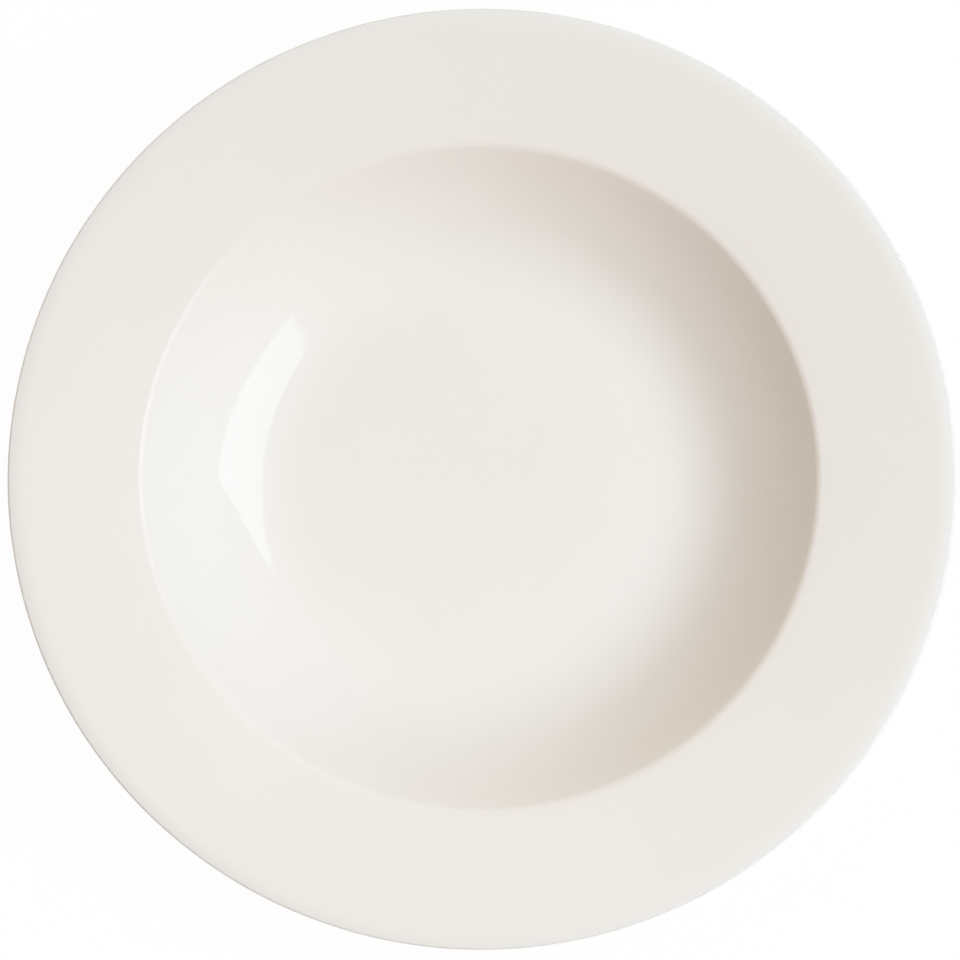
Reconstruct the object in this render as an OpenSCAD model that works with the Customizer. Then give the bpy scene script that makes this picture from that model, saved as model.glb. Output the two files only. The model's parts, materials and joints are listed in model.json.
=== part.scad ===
// Rimmed soup plate: one turned clay body under a coat of glaze.
//
// The plate is a solid of revolution about the Z axis. It stands on Z = 0, on the bare
// edge of its foot ring. Every length is in millimetres and every angle in degrees.
//
// Its section is a chain of corners [distance from the axis, height, radius]. The chain
// runs from the axis out along the upper face, round the lip and back in underneath, so
// the clay always lies on its right. Each corner is then rounded with its own radius.

/* [Plate] */
// Diameter over the lip
plate_d = 240; // [210:1:280]
// Diameter at the verge, where the wall of the well meets the rim
verge_d = 170; // [150:1:190]

/* [Well] */
// Depth of the middle of the floor below the verge
well_depth = 22; // [18:0.5:28]
// Slope of the lower part of the wall
wall_foot_slope = 35; // [30:1:42]
// Slope of the upper part of the wall
wall_top_slope = 46; // [38:1:54]
// Radius of the slow bend between the two parts of the wall
wall_bow_r = 90; // [50:5:120]
// Radius of the curve from the floor up into the wall
floor_curve_r = 33.6; // [24:0.2:36]
// Diameter of the level disc in the middle of the floor
floor_disc_d = 60; // [30:1:70]
// Radius of the soft edge of that disc
floor_disc_r = 150; // [50:5:250]
// Slope at which the floor falls away outside the disc
floor_fall = 1.5; // [0.5:0.1:3]

/* [Rim] */
// Slope of the rim where it leaves the verge
rim_root_slope = 8.5; // [5:0.5:12]
// Slope of the rim where it meets its shoulder
rim_edge_slope = 6; // [2:0.5:8]
// Radius of the slow bend between the two
rim_bow_r = 600; // [200:50:650]
// Extra slope of the underside, which thickens the rim towards the wall
rim_taper = 2; // [1:0.1:3]
// Radius of the verge
verge_r = 4; // [2:0.2:7]
// Radius under the rim, where it joins the outside of the wall
rim_root_r = 7; // [4:0.5:12]

/* [Lip] */
// Thickness of the lip
lip_t = 4; // [3.2:0.1:6]
// Width of the shoulder, where the rim falls away to the lip
shoulder_w = 2.6; // [2.5:0.1:5]
// Slope at which the shoulder falls
shoulder_fall = 6; // [2:1:10]
// Radius between the rim and its shoulder
shoulder_r = 14; // [6:1:20]
// Radius of the upper edge of the lip
lip_top_r = 1.2; // [0.8:0.1:1.6]
// Radius of the lower edge of the lip
lip_under_r = 1.2; // [0.6:0.1:1.6]

/* [Wall and floor] */
// Thickness of the wall
wall_t = 4.8; // [3.8:0.1:6]
// Thickness of the middle of the floor
floor_t = 4.7; // [3.8:0.1:6]

/* [Foot ring] */
// Height of the hollow base above the table
base_h = 2.6; // [2:0.1:4]
// Slope of the heel, the underside between the wall and the foot ring
heel_slope = 24; // [18:1:30]
// Width of the heel along its slope
heel_w = 8.5; // [7:0.5:12]
// Width of the foot at the table
foot_w = 4.2; // [3:0.1:6]
// Lean of the outer face of the foot from the upright
foot_outer_lean = 12; // [5:1:25]
// Lean of the inner face of the foot from the upright
foot_inner_lean = 25; // [5:1:40]
// Radius of both edges of the foot at the table
foot_edge_r = 1; // [0.4:0.1:1.4]
// Radius where the outer face of the foot joins the heel
foot_root_r = 3; // [1.5:0.5:5]
// Radius where the inner face of the foot joins the base
base_root_r = 2; // [1:0.25:2.5]

/* [Glaze] */
// Thickness of the glaze
glaze_t = 0.3; // [0.2:0.05:0.5]
// Height of both glaze lines above the table, below which the foot is bare
glaze_line_h = 1.2; // [1:0.1:1.6]
// Radius of the edge of the glaze at a glaze line
glaze_edge_r = 0.2; // [0.1:0.05:0.2]

/* [Hidden] */

// Share of the depth of the well that the upper part of the wall takes
wall_top_share = 0.5;
// Share of the width of the rim that its steeper part takes
rim_root_share = 0.5;
// Largest turn and largest length of one step along a rounded corner
arc_step = 5;
arc_chord = 2.5;
// Facets round the axis when the plate is drawn as a mesh
turn_facets = 180;

// Headings in the section
outward = 0;
up = 90;
inward = 180;
down = 270;

// Inside of the well, from the level disc up to the verge, and out along the rim
base_z = base_h;
floor_z = base_z + floor_t;
verge_z = floor_z + well_depth;
bow_z = verge_z - well_depth * wall_top_share;
disc_edge = [floor_disc_d / 2, floor_z];
verge = [verge_d / 2, verge_z];
bow = crossing(verge, wall_top_slope, [0, bow_z], outward);
floor_corner = crossing(disc_edge, outward - floor_fall, bow, wall_foot_slope);
rim_w = (plate_d - verge_d) / 2;
rim_bow = crossing(verge, rim_root_slope, verge + [rim_w * rim_root_share, 0], up);
shoulder = crossing(rim_bow, rim_edge_slope, [plate_d / 2 - shoulder_w, 0], up);
lip_top = crossing(shoulder, outward - shoulder_fall, [plate_d / 2, 0], up);
lip_under = lip_top - [0, lip_t];

// Outside of the wall, parallel to the inside and wall_t behind it
inner_wall = [corner(floor_corner), corner(bow, wall_bow_r), corner(verge)];
outer_wall = sunk(inner_wall, wall_t);
outer_wall_low = place(outer_wall[0]);
outer_wall_top = place(outer_wall[2]);
under_slope = rim_edge_slope + rim_taper;
rim_root = crossing(lip_under, under_slope, outer_wall_top, wall_top_slope);

// Heel, which touches the circle that lies wall_t behind the floor curve
curve_centre = crossing(
    beside(disc_edge, outward - floor_fall, -floor_curve_r), outward - floor_fall,
    beside(bow, wall_foot_slope, -floor_curve_r), wall_foot_slope
);
heel_r = floor_curve_r + wall_t;
heel_touch = beside(curve_centre, heel_slope, heel_r);
heel = crossing(heel_touch, heel_slope, outer_wall_low, wall_foot_slope);

// Foot ring, under the inner end of the heel
outer_way = down - foot_outer_lean;
inner_way = up + foot_inner_lean;
foot_root = heel - heel_w * along(heel_slope);
foot_outer = crossing(beside(foot_root, outer_way, glaze_t), outer_way, [0, 0], outward);
foot_inner = foot_outer - [foot_w, 0];
inner_face = beside(foot_inner, inner_way, -glaze_t);
base_root = crossing(inner_face, inner_way, [0, base_z], outward);
outer_glaze_line = crossing(foot_root, outer_way, [0, glaze_line_h], outward);
inner_glaze_line = crossing(inner_face, inner_way, [0, glaze_line_h], outward);

// Glazed surface, from the axis over the lip to the outer glaze line
face_corners = [
    corner([0, floor_z]),
    corner(disc_edge, floor_disc_r),
    corner(floor_corner, floor_curve_r),
    corner(bow, wall_bow_r),
    corner(verge, verge_r),
    corner(rim_bow, rim_bow_r),
    corner(shoulder, shoulder_r),
    corner(lip_top, lip_top_r),
    corner(lip_under, lip_under_r),
    corner(rim_root, rim_root_r),
    outer_wall[1],
    corner(heel, heel_r),
    corner(foot_root, foot_root_r),
    corner(outer_glaze_line, glaze_edge_r)
];

// Glazed surface, from the inner glaze line to the axis under the base
base_corners = [
    corner(inner_glaze_line, glaze_edge_r),
    corner(base_root, base_root_r),
    corner([0, base_z])
];

// Clay surface under each glaze, and the bare edge of the foot between the two
clay_face_corners = sunk(face_corners, glaze_t);
clay_base_corners = sunk(base_corners, glaze_t);
foot_corners = [corner(foot_outer, foot_edge_r), corner(foot_inner, foot_edge_r)];

// Corner of a chain at a place, with a radius
function corner(p, r = 0) = [p.x, p.y, r];

// Place of a corner, without its radius
function place(c) = [c.x, c.y];

// Unit vector along a heading
function along(heading) = [cos(heading), sin(heading)];

// Vector v turned to the left by an angle
function turned(v, angle) =
    [v.x * cos(angle) - v.y * sin(angle), v.x * sin(angle) + v.y * cos(angle)];

// Vector v turned to the right by a quarter
function right_of(v) = [v.y, -v.x];

// Point that lies a distance to the right of p for someone on that heading
function beside(p, heading, distance) = p + distance * right_of(along(heading));

// Point where the line through p meets the line through q
function crossing(p, p_heading, q, q_heading) =
    let (u = along(p_heading))
    let (v = along(q_heading))
    p + u * cross(q - p, v) / cross(u, v);

// Length of the straight line from corner i of a chain to the next one
function length_after(chain, i) = norm(place(chain[i + 1]) - place(chain[i]));

// Unit vector from corner i of a chain to the next one
function way(chain, i) = (place(chain[i + 1]) - place(chain[i])) / length_after(chain, i);

// True for the first and the last corner of a chain, which stay sharp
function is_end(chain, i) = i == 0 || i == len(chain) - 1;

// Turn at corner i, positive to the left
function turn(chain, i) =
    let (u = way(chain, i - 1))
    let (v = way(chain, i))
    atan2(cross(u, v), u * v);

// Length that the rounding of corner i takes off the line on either side of it
function reach(chain, i) =
    is_end(chain, i) ? 0 : chain[i].z * tan(abs(turn(chain, i)) / 2);

// Share of their roundings that corners i and i + 1 have room for between them
function room(chain, i) =
    let (wanted = reach(chain, i) + reach(chain, i + 1))
    wanted > length_after(chain, i) ? length_after(chain, i) / wanted : 1;

// Points of the arc that rounds corner i
function arc(chain, i) =
    let (r = chain[i].z * min(room(chain, i - 1), room(chain, i)))
    let (bend = turn(chain, i))
    let (start = place(chain[i]) - way(chain, i - 1) * r * tan(abs(bend) / 2))
    let (spoke = sign(bend) * r * right_of(way(chain, i - 1)))
    let (arc_length = r * abs(bend) * PI / 180)
    let (steps = max(1, ceil(abs(bend) / arc_step), ceil(arc_length / arc_chord)))
    [for (s = [0:steps]) start - spoke + turned(spoke, bend * s / steps)];

// Points of a chain with its corners rounded
function rounded(chain) = [
    for (i = [0:len(chain) - 1])
        each is_end(chain, i) || chain[i].z == 0 ? [place(chain[i])] : arc(chain, i)
];

// Chain that runs parallel to another, a depth to its right
function sunk(chain, depth) = [
    for (i = [0:len(chain) - 1])
        let (before = right_of(way(chain, max(i - 1, 0))))
        let (after = right_of(way(chain, min(i, len(chain) - 2))))
        let (shift = depth * (before + after) / (1 + before * after))
        let (growth = is_end(chain, i) ? -chain[i].z : sign(turn(chain, i)) * depth)
        corner(place(chain[i]) + shift, max(chain[i].z + growth, 0))
];

// Points of a list from one index to another, in either direction
function stretch(points, from, to) =
    [for (i = [from:sign(to - from):to]) points[i]];

module turned_solid(points) {
    rotate_extrude($fn = turn_facets)
        polygon(points);
}

module clay_body() {
    clay_line = concat(clay_face_corners, foot_corners, clay_base_corners);
    color("wheat")
        turned_solid(rounded(clay_line));
}

module glaze_coat() {
    clay_line = rounded(clay_face_corners);
    last = len(clay_line) - 1;
    glaze_line = rounded(concat(face_corners, [corner(clay_line[last])]));
    color("ivory")
        turned_solid(concat(glaze_line, stretch(clay_line, last - 1, 0)));
}

module base_glaze() {
    clay_line = rounded(clay_base_corners);
    last = len(clay_line) - 1;
    glaze_line = rounded(concat([corner(clay_line[0])], base_corners));
    color("ivory")
        turned_solid(concat(glaze_line, stretch(clay_line, last, 1)));
}

clay_body();
glaze_coat();
base_glaze();
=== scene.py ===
"""Rimmed soup plate: turned clay under a white glaze, on a pale table, seen from above.

The section of the plate is drawn as chains of corners. A chain runs from the axis out along the
upper face, round the lip and back in underneath, with the clay on its right, and each corner is
then rounded. A point of the section is a complex number: its distance from the axis, plus its
height times 1j. Lengths are in metres and angles in degrees, unless a name says otherwise.
"""

import cmath
import json
import math

import bpy
import numpy as np
from mathutils import Matrix, Vector, noise


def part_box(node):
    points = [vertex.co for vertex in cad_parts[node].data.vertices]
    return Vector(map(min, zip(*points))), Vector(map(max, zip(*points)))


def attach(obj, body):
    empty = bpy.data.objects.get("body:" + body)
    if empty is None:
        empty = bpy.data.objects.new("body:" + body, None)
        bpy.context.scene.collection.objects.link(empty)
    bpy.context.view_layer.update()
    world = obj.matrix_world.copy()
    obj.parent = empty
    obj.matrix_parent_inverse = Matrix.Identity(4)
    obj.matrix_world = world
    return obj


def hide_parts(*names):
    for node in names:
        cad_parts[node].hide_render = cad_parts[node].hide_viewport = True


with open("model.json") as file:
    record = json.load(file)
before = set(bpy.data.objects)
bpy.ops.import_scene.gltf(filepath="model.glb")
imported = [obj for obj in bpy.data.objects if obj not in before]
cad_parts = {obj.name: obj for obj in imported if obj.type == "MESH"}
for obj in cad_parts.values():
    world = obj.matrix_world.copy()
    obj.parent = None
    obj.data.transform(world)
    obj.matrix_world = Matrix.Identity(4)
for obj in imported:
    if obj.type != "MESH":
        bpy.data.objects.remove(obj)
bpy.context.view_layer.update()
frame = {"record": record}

MM = 0.001

# What the solids give: the lip and the floor of the well
plate_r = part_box("glaze_coat")[1].x
floor_z = next(m for m in frame["record"]["mounts"] if m["name"] == "well_floor")["pos_m"][2]

# Well
verge_r = 85 * MM
well_depth = 22 * MM
wall_foot_slope, wall_top_slope = 35, 46
wall_top_share = 0.5
wall_bow_r = 90 * MM
floor_curve_r = 33.6 * MM
floor_disc_r = 30 * MM
floor_disc_bend_r = 150 * MM
floor_fall = 1.5

# Rim and lip
rim_root_slope, rim_edge_slope = 8.5, 6
rim_root_share = 0.5
rim_bow_r = 600 * MM
rim_taper = 2
verge_bend_r = 3.5 * MM
rim_root_r = 7 * MM
lip_t = 4 * MM
shoulder_w = 2.6 * MM
shoulder_fall = 6
shoulder_bend_r = 14 * MM
lip_top_r = 0.7 * MM
lip_under_r = 1.2 * MM

# Wall, floor and foot ring
wall_t = 4.8 * MM
floor_t = 4.7 * MM
heel_slope = 24
heel_w = 8.5 * MM
foot_w = 4.2 * MM
foot_outer_lean, foot_inner_lean = 12, 25
foot_edge_r = 1 * MM
foot_root_r = 3 * MM
base_root_r = 2 * MM

# Glaze
glaze_t = 0.3 * MM
glaze_line_z = 1.2 * MM
glaze_edge_r = 0.2 * MM

# How finely the turn is drawn, and the section: the angle and the length of its longest step,
# first where it is seen and then where it is covered. An edge sharper than the last looks sharp.
turn_steps = 384
fine_bend, fine_step = 5, 3 * MM
plain_bend, plain_step = 6, 6 * MM
sharp_from = 40

# What the turner's hand and the kiln leave on a real plate: the rim has settled in two lobes and
# three weaker ones, and the verge and the lip have come out a hair oval and off the middle
warp_of_rim = 0.12 * MM
two_lobes_way_rad, three_lobes_way_rad = 0.9, -1.7
three_lobes_share = 0.5
verge_wide, verge_off = 0.04 * MM, complex(-0.26, 0.53) * MM
verge_oval, verge_oval_way = 0.65 * MM, -1
lip_wide, lip_off = -0.62 * MM, complex(0.24, 0.35) * MM
lip_oval, lip_oval_way = 0.39 * MM, 6
drift_starts, drift_full = verge_r - 22 * MM, verge_r - 4 * MM
lip_drift_starts, lip_drift_full = verge_r + 3 * MM, verge_r + 20 * MM
glaze_swell = 0.02 * MM
glaze_swell_w = 15 * MM
glaze_swell_seed = 1
glaze_line_waver = 0.22 * MM
glaze_line_waver_w = 9 * MM
glaze_line_seed = 3
waver_reach = 1.1 * MM

# Noise: how far it swings to each side, and how far apart in it two seeds lie
noise_swing = 0.5
seed_steps = (17.3, 5.9, 11.7)

# The least distance from the axis that anything is divided by
least_r = 1e-9


def heading(degrees):
    """Unit vector of the section along a heading: 0 points outward and 90 up."""
    return cmath.rect(1, math.radians(degrees))


def cross(u, v):
    return (u.conjugate() * v).imag


def right_of(way):
    return way * -1j


def beside(point, degrees, distance):
    """The point that lies a distance to the right of another, for someone on that heading."""
    return point + distance * right_of(heading(degrees))


def crossing(p, p_degrees, q, q_degrees):
    """The point where the line through p meets the line through q, each along its heading."""
    u, v = heading(p_degrees), heading(q_degrees)
    return p + u * cross(q - p, v) / cross(u, v)


OUTWARD, UP, DOWN = 0, 90, 270


def way(chain, i):
    """Unit vector from corner i of a chain to the next one."""
    step = chain[i + 1][0] - chain[i][0]
    return step / abs(step)


def is_end(chain, i):
    return i in (0, len(chain) - 1)


def turn(chain, i):
    """How far a chain turns at corner i, in radians, positive to the left."""
    return cmath.phase(way(chain, i) / way(chain, i - 1))


def sunk(chain, depth):
    """The chain that runs parallel to another, a depth to its right."""
    last = len(chain) - 1
    lower = []
    for i, (point, radius) in enumerate(chain):
        before = right_of(way(chain, max(i - 1, 0)))
        after = right_of(way(chain, min(i, last - 1)))
        cosine = (before * after.conjugate()).real
        growth = -radius if is_end(chain, i) else math.copysign(depth, turn(chain, i))
        lower.append((point + depth * (before + after) / (1 + cosine), max(radius + growth, 0)))
    return lower


def bent(chain, i, bend_step):
    """Points of the arc that rounds corner i of a chain."""
    point, radius = chain[i]
    if is_end(chain, i) or radius == 0:
        return [point]
    bend = turn(chain, i)
    start = point - way(chain, i - 1) * radius * math.tan(abs(bend) / 2)
    spoke = math.copysign(radius, bend) * right_of(way(chain, i - 1))
    steps = max(1, math.ceil(abs(math.degrees(bend)) / bend_step))
    return [start - spoke + spoke * cmath.exp(1j * bend * s / steps) for s in range(steps + 1)]


def drawn(chain, bend_step, longest_step):
    """Points along a rounded chain, with no step longer than a given one."""
    corners = [p for i in range(len(chain)) for p in bent(chain, i, bend_step)]
    points = corners[:1]
    for start, end in zip(corners, corners[1:]):
        steps = math.ceil(abs(end - start) / longest_step)
        points += [start + (end - start) * s / steps for s in range(1, steps + 1)]
    return points


# Inside of the well, from the level disc up to the verge, and out along the rim
base_z = floor_z - floor_t
verge_z = floor_z + well_depth
disc_edge = complex(floor_disc_r, floor_z)
verge = complex(verge_r, verge_z)
bow = crossing(verge, wall_top_slope, 1j * (verge_z - well_depth * wall_top_share), OUTWARD)
floor_corner = crossing(disc_edge, -floor_fall, bow, wall_foot_slope)
rim_w = plate_r - verge_r
rim_bow = crossing(verge, rim_root_slope, verge + rim_w * rim_root_share, UP)
shoulder = crossing(rim_bow, rim_edge_slope, plate_r - shoulder_w, UP)
lip_top = crossing(shoulder, -shoulder_fall, plate_r, UP)
lip_under = lip_top - 1j * lip_t

# Outside of the wall, parallel to the inside, and the rim's underside
outer_wall = sunk([(floor_corner, 0), (bow, wall_bow_r), (verge, 0)], wall_t)
under_slope = rim_edge_slope + rim_taper
rim_root = crossing(lip_under, under_slope, outer_wall[2][0], wall_top_slope)

# Heel, which touches the circle that lies one wall behind the floor curve
curve_centre = crossing(
    beside(disc_edge, -floor_fall, -floor_curve_r), -floor_fall,
    beside(bow, wall_foot_slope, -floor_curve_r), wall_foot_slope,
)
heel_r = floor_curve_r + wall_t
heel = crossing(
    beside(curve_centre, heel_slope, heel_r), heel_slope, outer_wall[0][0], wall_foot_slope
)

# Foot ring
outer_way, inner_way = DOWN - foot_outer_lean, UP + foot_inner_lean
foot_root = heel - heel_w * heading(heel_slope)
foot_outer = crossing(beside(foot_root, outer_way, glaze_t), outer_way, 0, OUTWARD)
foot_inner = foot_outer - foot_w
inner_face = beside(foot_inner, inner_way, -glaze_t)
base_root = crossing(inner_face, inner_way, 1j * base_z, OUTWARD)
outer_glaze_line = crossing(foot_root, outer_way, 1j * glaze_line_z, OUTWARD)
inner_glaze_line = crossing(inner_face, inner_way, 1j * glaze_line_z, OUTWARD)

face_chain = [
    (1j * floor_z, 0),
    (disc_edge, floor_disc_bend_r),
    (floor_corner, floor_curve_r),
    (bow, wall_bow_r),
    (verge, verge_bend_r),
    (rim_bow, rim_bow_r),
    (shoulder, shoulder_bend_r),
    (lip_top, lip_top_r),
    (lip_under, lip_under_r),
    (rim_root, rim_root_r),
    outer_wall[1],
    (heel, heel_r),
    (foot_root, foot_root_r),
    (outer_glaze_line, glaze_edge_r),
]
base_chain = [(inner_glaze_line, glaze_edge_r), (base_root, base_root_r), (1j * base_z, 0)]
clay_face_chain = sunk(face_chain, glaze_t)
clay_base_chain = sunk(base_chain, glaze_t)
foot_chain = [(foot_outer, foot_edge_r), (foot_inner, foot_edge_r)]


def smooth(edge, full, value):
    """0 at the edge, 1 at full and beyond it, and smooth in between."""
    t = np.clip((value - edge) / (full - edge), 0, 1)
    return t * t * (3 - 2 * t)


def waves(points, width, seed):
    """Smooth waves from about -1 to 1 over points in space, with crests about a width apart."""
    offset = Vector([seed * step for step in seed_steps])
    return np.array([noise.noise(Vector(p) / width + offset) for p in points]) / noise_swing


def drift(angle, wide, off, oval, oval_way):
    """How far out from its true circle a ring of the plate has come, at each angle of the turn."""
    out = wide + (off.conjugate() * np.exp(1j * angle)).real
    return out + oval * np.cos(2 * angle - math.radians(2 * oval_way))


def warped(places):
    """Places after the kiln, in which the foot stood flat and the floor stayed as it was."""
    x, y, z = places.T
    r, angle = np.hypot(x, y), np.arctan2(y, x)
    lobes = np.cos(2 * angle - two_lobes_way_rad)
    lobes += three_lobes_share * np.cos(3 * angle - three_lobes_way_rad)
    foot_r = foot_outer.real
    share = np.clip((r - foot_r) / (plate_r - foot_r), 0, 1) ** 2
    past_verge = smooth(lip_drift_starts, lip_drift_full, r)
    near_verge = smooth(drift_starts, drift_full, r) * (1 - past_verge)
    shift = near_verge * drift(angle, verge_wide, verge_off, verge_oval, verge_oval_way)
    shift += past_verge * drift(angle, lip_wide, lip_off, lip_oval, lip_oval_way)
    out = 1 + shift / np.maximum(r, least_r)
    return np.stack([x * out, y * out, z + warp_of_rim * share * lobes], 1)


def wavered(places, glaze_line, line_way):
    """Places of a glaze layer after its edge on the foot ring was wiped by hand."""
    x, y, z = places.T
    r, angle = np.hypot(x, y), np.arctan2(y, x)
    line_r = glaze_line.real
    along_line = np.stack([line_r * np.cos(angle), line_r * np.sin(angle), 0 * angle], 1)
    waver = glaze_line_waver * waves(along_line, glaze_line_waver_w, glaze_line_seed)
    near = 1 - smooth(0, waver_reach, np.abs(r + 1j * z - glaze_line))
    slide = heading(line_way) * waver * near
    out = (r + slide.real) / np.maximum(r, least_r)
    return np.stack([x * out, y * out, z + slide.imag], 1)


def facing(section):
    """Unit vectors of the section that point out of the clay at each of its points."""
    ways = np.gradient(np.array(section))
    return 1j * ways / np.abs(ways)


def turned(name, section, glazed=0, glaze_line=None, line_way=0):
    """A closed piece: a section from the axis back to the axis, turned about it. The first
    glazed points of the section are the free face of a glaze, which swells a little."""
    ring = np.array(section[1:-1])
    out = facing(section)[1:-1]
    angles = 2 * math.pi * np.arange(turn_steps) / turn_steps

    def round_axis(points):
        r, z = np.repeat(points.real, turn_steps), np.repeat(points.imag, turn_steps)
        a = np.tile(angles, len(points))
        return np.stack([r * np.cos(a), r * np.sin(a), z], 1)

    places = round_axis(ring)
    if glazed:
        free = np.repeat(np.arange(len(ring)) < glazed - 1, turn_steps)
        swell = glaze_swell * waves(places, glaze_swell_w, glaze_swell_seed)
        reach = smooth(0, 2 * waver_reach, np.hypot(places[:, 0], places[:, 1]))
        off_line = smooth(0, waver_reach, np.abs(np.repeat(ring - glaze_line, turn_steps)))
        places += round_axis(out) * (free * swell * reach * off_line)[:, None]
        places = wavered(places, glaze_line, line_way)
    ends = [(0, 0, section[0].imag), (0, 0, section[-1].imag)]
    places = warped(np.concatenate([places, ends]))

    start, end = len(ring) * turn_steps, len(ring) * turn_steps + 1
    beside_column = [(k + 1) % turn_steps for k in range(turn_steps)]
    faces = [(start, k, n) for k, n in enumerate(beside_column)]
    for row in range(len(ring) - 1):
        inner, outer = row * turn_steps, (row + 1) * turn_steps
        faces += [(inner + k, outer + k, outer + n, inner + n) for k, n in enumerate(beside_column)]
    last = (len(ring) - 1) * turn_steps
    faces += [(last + k, end, last + n) for k, n in enumerate(beside_column)]

    mesh = bpy.data.meshes.new(name)
    mesh.from_pydata(places.tolist(), [], faces)
    mesh.polygons.foreach_set("use_smooth", [True] * len(mesh.polygons))
    mesh.set_sharp_from_angle(angle=math.radians(sharp_from))
    piece = bpy.data.objects.new(name, mesh)
    bpy.context.scene.collection.objects.link(piece)
    return piece


class Wire:
    """A value inside a material. Arithmetic on it adds Math nodes."""

    def __init__(self, finish, socket):
        self.finish, self.socket = finish, socket

    def math(self, operation, *values):
        return self.finish.node("Math", {"operation": operation}, dict(enumerate(values)))

    def __add__(self, other):
        return self.math("ADD", self, other)

    def __sub__(self, other):
        return self.math("SUBTRACT", self, other)

    def __rsub__(self, other):
        return self.math("SUBTRACT", other, self)

    def __mul__(self, other):
        return self.math("MULTIPLY", self, other)

    def __truediv__(self, other):
        return self.math("DIVIDE", self, other)

    def __pow__(self, other):
        return self.math("POWER", self, other)

    __radd__, __rmul__ = __add__, __mul__


class Finish:
    """The nodes of one material, or of the world."""

    def __init__(self, owner):
        owner.use_nodes = True
        self.tree = owner.node_tree
        self.tree.nodes.clear()

    def node(self, kind, settings=None, sockets=None, out=0):
        """A new node, with its settings made before its sockets, as the wire from its output."""
        made = self.tree.nodes.new("ShaderNode" + kind)
        for name, value in (settings or {}).items():
            setattr(made, name, value)
        for name, value in (sockets or {}).items():
            if isinstance(value, Wire):
                self.tree.links.new(value.socket, made.inputs[name])
            else:
                made.inputs[name].default_value = value
        return Wire(self, made.outputs[out])

    def places(self):
        """Places on the piece, in metres."""
        return self.node("TexCoord", out="Object")

    def noise(self, width, detail=2, roughness=0.5):
        """Noise from 0 to 1 whose spots are about a width across."""
        sockets = {"Scale": 1 / width, "Detail": detail, "Roughness": roughness}
        return self.node("TexNoise", None, {"Vector": self.places(), **sockets})

    def step(self, value, start, end):
        """0 up to start, 1 from end on and smooth in between. It falls where end is under start."""
        settings = {"interpolation_type": "SMOOTHSTEP"}
        low, high = min(start, end), max(start, end)
        rising = self.node("MapRange", settings, {"Value": value, "From Min": low, "From Max": high})
        return rising if start < end else 1 - rising

    def ring(self, r, middle, flat, fade):
        """1 within a flat distance of a middle radius, and 0 one fade further off."""
        rising = self.step(r, middle - flat - fade, middle - flat)
        return rising * self.step(r, middle + flat + fade, middle + flat)

    def blend(self, share, plain, full):
        """A colour between two, by a share from 0 to 1."""
        settings = {"data_type": "RGBA"}
        return self.node("Mix", settings, {0: share, 6: plain, 7: full}, out=2)

    def bumps(self, height, distance, under=None):
        """A normal that rises by a distance where the height goes from 0 to 1."""
        sockets = {"Height": height, "Distance": distance, "Strength": 1.0}
        if under:
            sockets["Normal"] = under
        return self.node("Bump", None, sockets)

    def seen(self):
        """1 where the camera looks, straight or by way of a mirror or glass, and 0 for light."""
        rays = ("Is Camera Ray", "Is Glossy Ray", "Is Transmission Ray")
        straight, mirrored, through = (self.node("LightPath", out=ray) for ray in rays)
        return straight + mirrored + through

    def shade(self, **sockets):
        """The surface of a material, from the sockets of its shader with _ for each space."""
        named = {name.replace("_", " "): value for name, value in sockets.items()}
        self.end(self.node("BsdfPrincipled", None, named))

    def end(self, shader, kind="OutputMaterial"):
        last = self.tree.nodes.new("ShaderNode" + kind)
        self.tree.links.new(shader.socket, last.inputs["Surface"])


def from_axis(finish):
    """Distance from the axis of the plate and height above the table, as wires."""
    places = finish.places()
    x, y, z = (finish.node("SeparateXYZ", None, {"Vector": places}, out=k) for k in range(3))
    return (x * x + y * y) ** 0.5, z


def srgb(red, green, blue):
    """A colour given as a screen shows it, from 0 to 255."""
    linear = [((c / 255 + 0.055) / 1.055) ** 2.4 for c in (red, green, blue)]
    return (*linear, 1.0)


# Glaze: its colours, how wide its clouds, smears and ripples are, how high the ripples, and how
# rough it is at least, in a smear and where it is rubbed
glaze_dim, glaze_bright = srgb(233, 229, 222), srgb(235, 231, 225)
glaze_over_verge, glaze_over_lip = srgb(234, 224, 213), srgb(230, 231, 228)
cloud_w, smear_w, patch_w = 38 * MM, 22 * MM, 12 * MM
ripple_w, peel_w = 8 * MM, 3.2 * MM
ripple_h, peel_h = 0.03 * MM, 0.008 * MM
glaze_rough, smear_rough, rubbed_rough = 0.035, 0.03, 0.18
glaze_ior = 1.34

# Where it runs thin, on the verge and on the lip, and where spoons rub its gloss off, on the
# upper face alone
thin_verge_r, thin_verge_flat, thin_verge_fade = verge_r + 0.3 * MM, 0.1 * MM, 1.2 * MM
thin_lip_starts, thin_lip_full = plate_r - 3.6 * MM, plate_r - 1.2 * MM
thin_verge_share, thin_lip_share = 0.3, 0.8
rubbed_flat, rubbed_fade = 1 * MM, 1.5 * MM
upper_z_starts, upper_z_full = 20 * MM, 28 * MM


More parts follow.
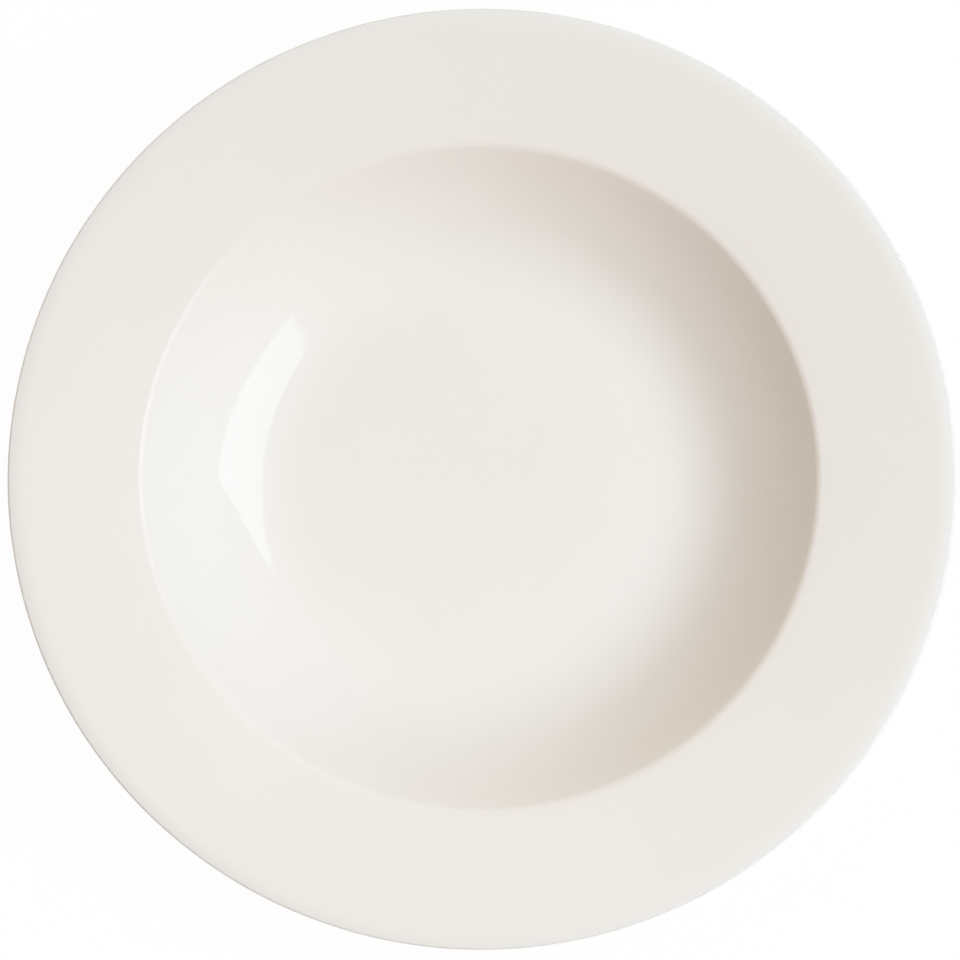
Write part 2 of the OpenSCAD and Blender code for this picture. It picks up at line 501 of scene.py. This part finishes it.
def white_glaze(name):
    """Fired white glaze: glossy, faintly rippled, a little warmer where it runs thin."""
    material = bpy.data.materials.new(name)
    glaze = Finish(material)
    r, z = from_axis(glaze)
    upper = glaze.step(z, upper_z_starts, upper_z_full)
    body = glaze.blend(glaze.noise(cloud_w, detail=3), glaze_dim, glaze_bright)
    thin_verge = glaze.ring(r, thin_verge_r, thin_verge_flat, thin_verge_fade) * upper
    thin_verge = thin_verge * glaze.noise(patch_w)
    colour = glaze.blend(thin_verge * thin_verge_share, body, glaze_over_verge)
    thin_lip = glaze.step(r, thin_lip_starts, thin_lip_full) * upper
    colour = glaze.blend(thin_lip * thin_lip_share, colour, glaze_over_lip)
    rubbed = glaze.ring(r, verge_r, rubbed_flat, rubbed_fade) * upper
    smears = glaze.noise(smear_w, detail=4)
    normal = glaze.bumps(glaze.noise(ripple_w, detail=1), ripple_h)
    normal = glaze.bumps(glaze.noise(peel_w, roughness=0.4), peel_h, under=normal)
    rough = glaze_rough + smears * smear_rough + rubbed * rubbed_rough
    glaze.shade(Base_Color=colour, Roughness=rough, IOR=glaze_ior, Normal=normal)
    return material


# Clay: its colours, how wide its patches, specks, grain and scuffs are, how high the grain, from
# what noise on a speck shows, how far up it is scuffed by tables, and how rough it is
clay_light, clay_dark = srgb(226, 214, 196), srgb(216, 202, 182)
clay_speck, clay_scuff = srgb(176, 156, 132), srgb(178, 172, 164)
clay_patch_w, speck_w, grain_w, scuff_w = 6 * MM, 0.8 * MM, 0.35 * MM, 2.5 * MM
grain_h = 0.05 * MM
speck_starts, speck_full = 0.66, 0.74
scuff_z = 0.35 * MM
speck_share, scuff_share = 0.5, 0.6
clay_rough, scuff_smoother = 0.78, 0.2


def fired_clay(name):
    """Bare fired clay: matt, fine-grained and slightly greyed where it slides on tables."""
    material = bpy.data.materials.new(name)
    clay = Finish(material)
    z = clay.node("SeparateXYZ", None, {"Vector": clay.places()}, out="Z")
    body = clay.blend(clay.noise(clay_patch_w, detail=3), clay_light, clay_dark)
    specks = clay.step(clay.noise(speck_w, detail=1), speck_starts, speck_full)
    body = clay.blend(specks * speck_share, body, clay_speck)
    scuffs = clay.step(z, scuff_z, 0.0) * clay.noise(scuff_w, detail=4)
    body = clay.blend(scuffs * scuff_share, body, clay_scuff)
    normal = clay.bumps(clay.noise(grain_w, detail=4, roughness=0.65), grain_h)
    rough = clay_rough - scuffs * scuff_smoother
    clay.shade(Base_Color=body, Roughness=rough, Normal=normal)
    return material


def dressed(piece, node, finish):
    """Gives a piece its finish, and its place as the looks of a solid of the frame."""
    piece.data.materials.append(finish)
    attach(piece, "root")
    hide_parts(node)


def plate():
    """The clay and the two layers of glaze that the bare edge of the foot parts."""
    glaze = white_glaze("white_glaze_fired")
    clay_section = drawn(clay_face_chain + foot_chain + clay_base_chain, plain_bend, plain_step)
    clay = turned("turned_clay", clay_section)
    dressed(clay, "clay_body", fired_clay("bare_fired_clay"))

    clay_face = drawn(clay_face_chain, plain_bend, plain_step)
    free_face = drawn(face_chain + [(clay_face[-1], 0)], fine_bend, fine_step)
    coat_section = free_face + clay_face[-2::-1]
    coat = turned("glaze_over_rim", coat_section, len(free_face) - 1, outer_glaze_line, outer_way)
    dressed(coat, "glaze_coat", glaze)

    clay_base = drawn(clay_base_chain, plain_bend, plain_step)
    free_base = drawn([(clay_base[0], 0)] + base_chain, fine_bend, fine_step)
    base_section = free_base[::-1] + clay_base[1:]
    base = turned("glaze_under_base", base_section, len(free_base) - 1, inner_glaze_line, inner_way)
    base.data.flip_normals()
    dressed(base, "base_glaze", glaze)


# The photograph: how far the plate fills it and where its middle lies, in pixels
picture_px = 960
plate_px = 948.1
plate_middle_px = (480.85, 478.93)

# The camera: how far it leans off upright and which way, how far off it stands, and its sensor
camera_tilt, camera_turn = 3.4, 7
camera_away = 1.3
sensor_w = 36 * MM


def camera():
    """Nearly straight above the plate, leaning a little to the front."""
    tilt, turned_by = math.radians(camera_tilt), math.radians(camera_turn)
    lean = math.sin(tilt)
    back = Vector((lean * math.sin(turned_by), -lean * math.cos(turned_by), math.cos(tilt)))
    right = Vector((0, 1, 0)).cross(back).normalized()
    up = back.cross(right)
    px = 2 * plate_r / plate_px
    middle = picture_px / 2
    aim = Vector((0, 0, lip_under.imag))
    aim += right * (middle - plate_middle_px[0]) * px - up * (middle - plate_middle_px[1]) * px
    data = bpy.data.cameras.new("camera")
    data.sensor_width = sensor_w / MM
    data.lens = data.sensor_width * camera_away / (px * picture_px)
    made = bpy.data.objects.new("camera", data)
    bpy.context.scene.collection.objects.link(made)
    place = Matrix((right, up, back)).transposed().to_4x4()
    made.matrix_world = Matrix.Translation(aim + back * camera_away) @ place
    bpy.context.scene.camera = made


plain_white, dark = (1, 1, 1, 1), (0, 0, 0, 1)


def direction(azimuth, elevation):
    """Unit vector towards a place in the studio. Azimuth 0 is the right, and 90 the back."""
    a, e = math.radians(azimuth), math.radians(elevation)
    return Vector((math.cos(a) * math.cos(e), math.sin(a) * math.cos(e), math.sin(e)))


# Softbox: where its middle is and which ways its sides run, each as an azimuth and an elevation,
# how large it is, how far off, and its radiance. White paper in plain light has a radiance of 1.
softbox_middle = (-11.64, 51.80)
softbox_across, softbox_along = (85.98, -24.81), (133.65, 60.60)
softbox_w, softbox_h = 0.780, 0.779
softbox_away = 1.2
softbox_radiance = (2.40, 3.09, 3.71)


def softbox():
    """A rectangular panel of light that faces the plate, a little aslant."""
    data = bpy.data.lights.new("softbox", "AREA")
    data.shape = "RECTANGLE"
    data.size, data.size_y = softbox_w, softbox_h
    brightest = max(softbox_radiance)
    data.energy = math.pi * brightest * softbox_w * softbox_h
    data.color = [c / brightest for c in softbox_radiance]
    lamp = bpy.data.objects.new("softbox", data)
    bpy.context.scene.collection.objects.link(lamp)
    middle = direction(*softbox_middle)
    x = direction(*softbox_across)
    z = x.cross(direction(*softbox_along)).normalized()
    y = z.cross(x)
    if z.dot(middle) < 0:
        y, z = -y, -z
    turn_to = Matrix((x, y, z)).transposed().to_4x4()
    lamp.matrix_world = Matrix.Translation(middle * softbox_away) @ turn_to
    lamp.visible_camera = False


# Light of the room: where each panel hangs, as an azimuth and a height, and its radiance
panels = [
    (0, "high", (3.35, 3.71, 4.34)),
    (90, "middle", (0.37, 0.17, 0.15)),
    (90, "low", (1.90, 1.68, 1.52)),
    (135, "high", (1.79, 1.70, 1.50)),
    (135, "middle", (0.55, 0.49, 0.17)),
    (270, "high", (1.55, 1.03, 0.93)),
    (270, "middle", (0.15, 0.16, 0.18)),
    (270, "low", (0.47, 0, 0)),
    (315, "middle", (0.76, 0.68, 0.12)),
]

# Where a panel ends sideways and where it is full, as the cosine of the angle from its azimuth,
# and where each height goes over into the next, as the sine of the elevation
panel_ends, panel_full = 0.574, 0.94
low_ends, middle_ends, high_ends = (0.1, 0.4), (0.5, 0.8), (0.85, 1)


def room():
    """The world: a dark room with soft panels of light, which looks plain white when it is seen."""
    world = bpy.data.worlds.new("pale_room")
    bpy.context.scene.world = world
    air = Finish(world)
    ways = air.node("TexCoord", out="Generated")
    x, y, z = (air.node("SeparateXYZ", None, {"Vector": ways}, out=k) for k in range(3))
    sideways = (x * x + y * y) ** 0.5
    past_low, past_middle, past_high = (air.step(z, *e) for e in (low_ends, middle_ends, high_ends))
    heights = {
        "low": 1 - past_low,
        "middle": past_low * (1 - past_middle),
        "high": past_middle * (1 - past_high),
    }
    adding = {"data_type": "RGBA", "blend_type": "ADD"}
    light = dark
    for azimuth, height, radiance in panels:
        a = math.radians(azimuth)
        facing_it = (x * math.cos(a) + y * math.sin(a)) / sideways
        share = air.step(facing_it, panel_ends, panel_full) * heights[height]
        light = air.node("Mix", adding, {0: share, 6: light, 7: (*radiance, 1)}, out=2)
    shown = air.blend(air.seen(), light, plain_white)
    air.end(air.node("Background", None, {"Color": shown, "Strength": 1.0}), "OutputWorld")


# Table: how far it runs to each side, its own white, and the share of plain white that is laid
# over that where it is seen, so that its edge doesn't show
table_half_w = 4.0
table_white = (0.9, 0.9, 0.9, 1)
table_plain_share = 0.97


def table():
    """A white table top that keeps the shadow of the plate and shows only from above."""
    half = table_half_w
    mesh = bpy.data.meshes.new("table_top")
    corners = [(-half, -half, 0), (half, -half, 0), (half, half, 0), (-half, half, 0)]
    mesh.from_pydata(corners, [], [(0, 1, 2, 3)])
    top = bpy.data.objects.new("table_top", mesh)
    bpy.context.scene.collection.objects.link(top)
    material = bpy.data.materials.new("table_white")
    paint = Finish(material)
    lit = paint.node("BsdfDiffuse", None, {"Color": table_white})
    plain = paint.node("Emission", None, {"Color": plain_white, "Strength": 1.0})
    share = paint.seen() * table_plain_share
    shown = paint.node("MixShader", None, {0: share, 1: lit, 2: plain})
    clear = paint.node("BsdfTransparent")
    behind = paint.node("NewGeometry", out="Backfacing")
    paint.end(paint.node("MixShader", None, {0: behind, 1: shown, 2: clear}))
    mesh.materials.append(material)


camera()
plate()
table()
room()
softbox()
bpy.context.scene.view_settings.view_transform = "Standard"
